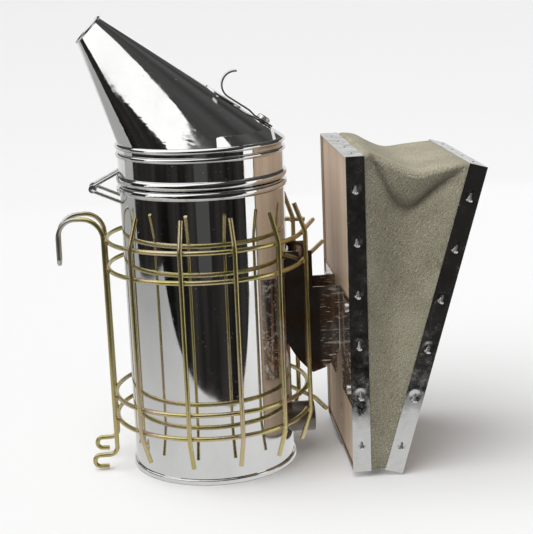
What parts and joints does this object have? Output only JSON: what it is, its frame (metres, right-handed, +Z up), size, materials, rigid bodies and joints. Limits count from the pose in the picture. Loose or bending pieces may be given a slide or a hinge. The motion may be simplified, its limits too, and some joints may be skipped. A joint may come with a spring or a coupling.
{
  "type": "bee smoker",
  "caption": "Bee smoker: a polished steel fire pot with a hinged conical spout lid, a wire heat guard with a hanging hook, and a spring bellows of boards and leatherette.",
  "frame": {"origin": "centre of the fire pot's base, in the plane that it rests on", "axes": "+Z up along the pot's axis, +X from the pot towards the bellows, +Y across the bellows"},
  "size_m": [0.2535, 0.125, 0.2778],
  "materials": {
    "polished_stainless": "mirror-polished stainless sheet",
    "polished_trim": "polished stainless strip",
    "plated_fasteners": "bright zinc-plated steel",
    "guard_wire": "yellow zinc-plated steel wire",
    "hinge_wire": "drawn steel wire",
    "grate_steel": "mill finish steel sheet",
    "bracket_steel": "polished steel sheet with fine scratches",
    "board_wood": "sanded close-grained board",
    "edging_steel": "bright tin-plated strip",
    "spring_steel": "spring steel wire",
    "bellows_leather": "matt olive-grey leatherette"
  },
  "bodies": {
    "pot": {"fire_pot_shell": "polished_stainless", "fire_pot_base": "polished_stainless", "fire_grate": "grate_steel", "air_inlet_tube": "polished_stainless", "pot_hinge_staple": "hinge_wire", "guard_ring_1": "guard_wire", "guard_ring_2": "guard_wire", "guard_ring_3": "guard_wire", "guard_ring_4": "guard_wire", "guard_upright_01": "guard_wire", "guard_upright_02": "guard_wire", "guard_upright_03": "guard_wire", "guard_upright_04": "guard_wire", "guard_upright_05": "guard_wire", "guard_upright_06": "guard_wire", "guard_upright_07": "guard_wire", "guard_upright_08": "guard_wire", "guard_upright_09": "guard_wire", "guard_upright_10": "guard_wire", "hanging_hook": "guard_wire", "bellows_bracket": "bracket_steel", "bracket_rivets": "plated_fasteners", "bracket_screws": "plated_fasteners", "front_board": "board_wood", "front_edging_near": "edging_steel", "front_edging_far": "edging_steel", "front_edging_bottom": "edging_steel", "front_edging_top": "edging_steel", "front_nails": "plated_fasteners", "bellows_spring": "spring_steel", "bellows_skin": "bellows_leather"},
    "lid": {"lid_collar": "polished_stainless", "spout_cone": "polished_stainless", "lift_pad": "polished_trim", "thumb_lift": "polished_trim", "lift_screw": "plated_fasteners", "lift_nut": "plated_fasteners", "lid_hinge_eyes": "hinge_wire"},
    "rear_board": {"rear_board": "board_wood", "rear_edging_near": "edging_steel", "rear_edging_far": "edging_steel", "rear_edging_bottom": "edging_steel", "rear_edging_top": "edging_steel", "rear_nails": "plated_fasteners"}
  },
  "joints": [
    {"name": "lid_hinge", "type": "hinge", "parent": "pot", "child": "lid", "pos_m": [-0.066, 0, 0.176], "axis": [0, -1, 0], "range_deg": [0, 110]},
    {"name": "bellows_squeeze", "type": "hinge", "parent": "pot", "child": "rear_board", "pos_m": [0.0955, 0, 0.0055], "axis": [0, -1, 0], "range_deg": [0, 12], "stiffness_Nm_per_rad": 3, "springref_deg": -8.59, "deforming": ["bellows_spring", "bellows_skin"]}
  ]
}
